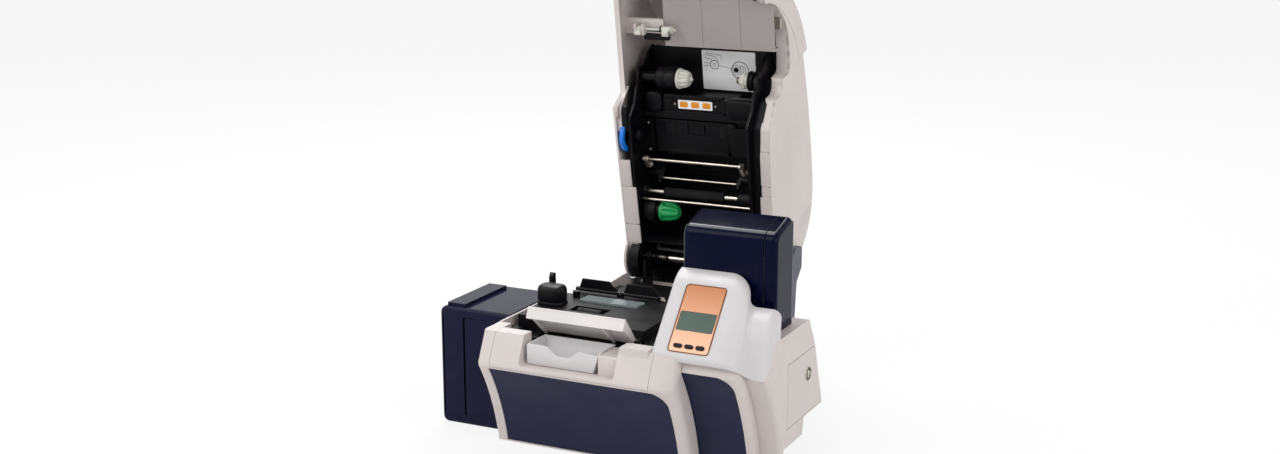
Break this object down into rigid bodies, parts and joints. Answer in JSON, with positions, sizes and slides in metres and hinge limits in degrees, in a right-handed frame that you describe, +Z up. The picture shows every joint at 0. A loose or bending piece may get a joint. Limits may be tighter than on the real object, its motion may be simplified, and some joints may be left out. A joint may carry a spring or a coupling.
{
  "type": "id card printer",
  "caption": "Desktop ID card printer with a lid held open over its ribbon carriage, card tower, sloping display hood, output tray and side bin.",
  "frame": {"origin": "middle of the outline on the surface that the printer stands on", "axes": "+Z up, +Y to the printer's rear, +X to its right seen from the front"},
  "size_m": [0.477, 0.573, 0.584],
  "materials": {
    "body_grey": "fine satin",
    "hood_white": "satin gloss",
    "panel_navy": "satin",
    "gloss_navy": "high gloss",
    "bin_navy": "gloss",
    "slate": "satin",
    "black_plastic": "satin",
    "steel": "polished",
    "rubber_black": "matt",
    "lever_blue": "satin",
    "hub_green": "satin",
    "hub_white": "satin",
    "overlay_copper": "metallic print under a clear film",
    "screen": "clear window over a grey-green screen",
    "clear": "clear",
    "plate_white": "satin"
  },
  "bodies": {
    "base": {"base_pan": "slate", "main_housing": "body_grey", "front_frame": "body_grey", "front_strip": "body_grey", "front_panel": "panel_navy", "display_column": "body_grey", "feeder_housing": "body_grey", "feeder_panel": "panel_navy", "display_hood": "hood_white", "display_overlay": "overlay_copper", "screen_window": "screen", "card_tower": "gloss_navy", "side_bin": "bin_navy", "deck_chassis": "black_plastic", "drive_block": "black_plastic", "clear_guide": "clear", "output_tray": "hood_white", "hopper_pin": "steel", "flap_pins": "steel", "door_pins": "steel", "hinge_shaft": "steel", "hinge_bracket": "slate", "rubber_feet": "rubber_black", "power_inlet": "black_plastic", "data_ports": "steel"},
    "lid": {"lid_shell": "body_grey", "nose_cover": "body_grey", "nose_liner": "body_grey", "left_side_plate": "black_plastic", "right_side_plate": "black_plastic", "back_plate": "black_plastic", "instruction_plate": "plate_white", "cross_bar": "black_plastic", "caution_plate": "plate_white", "printhead_module": "black_plastic", "guide_rods": "steel", "latch_bracket": "body_grey"},
    "platen": {"platen_shaft": "steel", "platen_rubber": "rubber_black"},
    "supply_left": {"supply_hub_left": "hub_white"},
    "supply_right": {"supply_hub_right": "hub_white"},
    "takeup_left": {"takeup_hub_left": "hub_green"},
    "takeup_right": {"takeup_hub_right": "black_plastic"},
    "lever": {"head_lever": "lever_blue"},
    "bail_arm": {"bail": "steel"},
    "claw": {"latch_claw": "hub_white"},
    "hopper": {"hopper_cover": "body_grey"},
    "side_door": {"access_door": "body_grey"},
    "lock": {"door_lock": "steel"},
    "tower_side_door": {"tower_door": "gloss_navy"},
    "bin_end_door": {"bin_door": "bin_navy"},
    "weight": {"card_weight": "black_plastic"},
    "pick": {"pick_roller": "rubber_black"},
    "feed": {"feed_roller": "rubber_black"},
    "flap_left": {"guide_flap_left": "black_plastic"},
    "flap_right": {"guide_flap_right": "black_plastic"},
    "key_left": {"button_left": "black_plastic"},
    "key_middle": {"button_middle": "black_plastic"},
    "key_right": {"button_right": "black_plastic"},
    "switch": {"power_switch": "black_plastic"}
  },
  "joints": [
    {"name": "lid_hinge", "type": "hinge", "parent": "base", "child": "lid", "pos_m": [-0.0175, 0.15835, 0.16], "axis": [1, 0, 0], "range_deg": [0, 80]},
    {"name": "hopper_cover_hinge", "type": "hinge", "parent": "base", "child": "hopper", "pos_m": [-0.0145, -0.21066, 0.149], "axis": [1, 0, 0], "range_deg": [-12, 18]},
    {"name": "access_door_hinge", "type": "hinge", "parent": "base", "child": "side_door", "pos_m": [0.2343, -0.16445, 0.092], "axis": [0, 0, 1], "range_deg": [-90, 0]},
    {"name": "lock_turn", "type": "hinge", "parent": "side_door", "child": "lock", "pos_m": [0.2375, -0.09566, 0.102], "axis": [1, 0, 0], "range_deg": [0, 90]},
    {"name": "tower_door_hinge", "type": "hinge", "parent": "base", "child": "tower_side_door", "pos_m": [0.2195, -0.12245, 0.23], "axis": [0, 0, 1], "range_deg": [0, 100]},
    {"name": "bin_door_hinge", "type": "hinge", "parent": "base", "child": "bin_end_door", "pos_m": [-0.1975, -0.20266, 0.08], "axis": [0, 0, 1], "range_deg": [-90, 0]},
    {"name": "weight_slide", "type": "slide", "parent": "base", "child": "weight", "axis": [0, 0, 1], "range_m": [0, 0.09]},
    {"name": "pick_spin", "type": "hinge", "parent": "base", "child": "pick", "pos_m": [0.1535, -0.14966, 0.166], "axis": [1, 0, 0], "continuous": true},
    {"name": "feed_spin", "type": "hinge", "parent": "base", "child": "feed", "pos_m": [-0.0455, -0.14766, 0.1575], "axis": [1, 0, 0], "continuous": true},
    {"name": "flap_left_hinge", "type": "hinge", "parent": "base", "child": "flap_left", "pos_m": [-0.0725, -0.07265, 0.167], "axis": [1, 0, 0], "range_deg": [-40, 20]},
    {"name": "flap_right_hinge", "type": "hinge", "parent": "base", "child": "flap_right", "pos_m": [-0.0085, -0.07265, 0.167], "axis": [1, 0, 0], "range_deg": [-40, 20]},
    {"name": "switch_rock", "type": "hinge", "parent": "base", "child": "switch", "pos_m": [-0.0485, 0.20694, 0.06], "axis": [1, 0, 0], "range_deg": [0, 12]},
    {"name": "platen_spin", "type": "hinge", "parent": "lid", "child": "platen", "pos_m": [-0.0315, 0.15083, 0.26022], "axis": [1, 0, 0], "continuous": true},
    {"name": "supply_left_spin", "type": "hinge", "parent": "lid", "child": "supply_left", "pos_m": [-0.0725, 0.14367, 0.42752], "axis": [1, 0, 0], "continuous": true},
    {"name": "supply_right_spin", "type": "hinge", "parent": "lid", "child": "supply_right", "pos_m": [0.0495, 0.141, 0.43111], "axis": [1, 0, 0], "continuous": true},
    {"name": "takeup_left_spin", "type": "hinge", "parent": "lid", "child": "takeup_left", "pos_m": [-0.0825, 0.15604, 0.23067], "axis": [1, 0, 0], "continuous": true},
    {"name": "takeup_right_spin", "type": "hinge", "parent": "lid", "child": "takeup_right", "pos_m": [0.0295, 0.15604, 0.23067], "axis": [1, 0, 0], "continuous": true},
    {"name": "head_lever_hinge", "type": "hinge", "parent": "lid", "child": "lever", "pos_m": [-0.1225, 0.12356, 0.34578], "axis": [1, 0, 0], "range_deg": [0, 40]},
    {"name": "bail_hinge", "type": "hinge", "parent": "lid", "child": "bail_arm", "pos_m": [-0.0325, 0.15211, 0.29903], "axis": [1, 0, 0], "range_deg": [-15, 20]},
    {"name": "latch_hinge", "type": "hinge", "parent": "lid", "child": "claw", "pos_m": [-0.1035, 0.119, 0.49831], "axis": [1, 0, 0], "range_deg": [-15, 20]},
    {"name": "key_left_press", "type": "slide", "parent": "base", "child": "key_left", "axis": [0, 0.7593, -0.6508], "range_m": [0, 0.001], "stiffness_N_per_m": 300},
    {"name": "key_middle_press", "type": "slide", "parent": "base", "child": "key_middle", "axis": [0, 0.7593, -0.6508], "range_m": [0, 0.001], "stiffness_N_per_m": 300},
    {"name": "key_right_press", "type": "slide", "parent": "base", "child": "key_right", "axis": [0, 0.7593, -0.6508], "range_m": [0, 0.001], "stiffness_N_per_m": 300}
  ],
  "couplings": [
    {"joint": "supply_right_spin", "follows": "supply_left_spin", "ratio": 1},
    {"joint": "takeup_right_spin", "follows": "takeup_left_spin", "ratio": 1}
  ]
}
